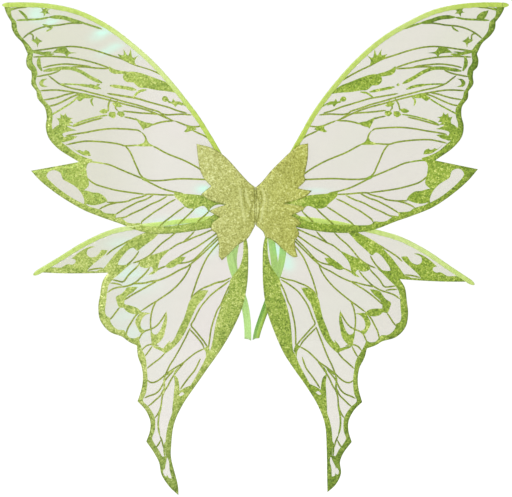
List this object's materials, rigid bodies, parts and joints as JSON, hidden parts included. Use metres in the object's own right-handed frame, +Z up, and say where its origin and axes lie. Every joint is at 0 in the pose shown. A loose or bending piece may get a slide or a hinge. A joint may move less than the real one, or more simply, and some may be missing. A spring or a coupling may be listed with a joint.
{
  "type": "fairy wings",
  "caption": "Wearable butterfly-shaped costume wings: wire-edged printed film wings sewn to a glitter centre cover, folding at the seam, with elastic shoulder straps.",
  "frame": {"origin": "centre of the back pad's rear face, which lies on the wearer's back", "axes": "+Z up as worn, +Y out of the back pad towards the wearer, +X to the right of someone looking at the decorated side"},
  "size_m": [0.7998, 0.0312, 0.7777],
  "materials": {
    "film": "translucent iridescent film with green glitter print",
    "binding": "satin ribbon",
    "glitter_cover": "coarse glitter fabric",
    "lining": "matt felt",
    "elastic": "flat woven elastic",
    "steel_wire": "drawn wire",
    "clamp": "pressed plate",
    "pad": "fabric over foam"
  },
  "bodies": {
    "back": {"back_pad": "pad", "strap_yoke": "lining", "seam_web": "glitter_cover", "strap_left": "elastic", "strap_right": "elastic"},
    "left_wing": {"upper_film_left": "film", "lower_film_left": "film", "upper_binding_left": "binding", "lower_binding_left": "binding", "upper_wire_left": "steel_wire", "lower_wire_left": "steel_wire", "upper_tip_cap_left": "binding", "lower_tip_cap_left": "binding", "cover_front_left": "glitter_cover", "cover_lining_left": "lining", "wire_clamp_left": "clamp"},
    "right_wing": {"upper_film_right": "film", "lower_film_right": "film", "upper_binding_right": "binding", "lower_binding_right": "binding", "upper_wire_right": "steel_wire", "lower_wire_right": "steel_wire", "upper_tip_cap_right": "binding", "lower_tip_cap_right": "binding", "cover_front_right": "glitter_cover", "cover_lining_right": "lining", "wire_clamp_right": "clamp"}
  },
  "joints": [
    {"name": "left_fold", "type": "hinge", "parent": "back", "child": "left_wing", "pos_m": [-0.001, -0.0163, 0], "axis": [0, 0, 1], "range_deg": [0, 88]},
    {"name": "right_fold", "type": "hinge", "parent": "back", "child": "right_wing", "pos_m": [0.001, -0.0163, 0], "axis": [0, 0, -1], "range_deg": [0, 88]}
  ]
}
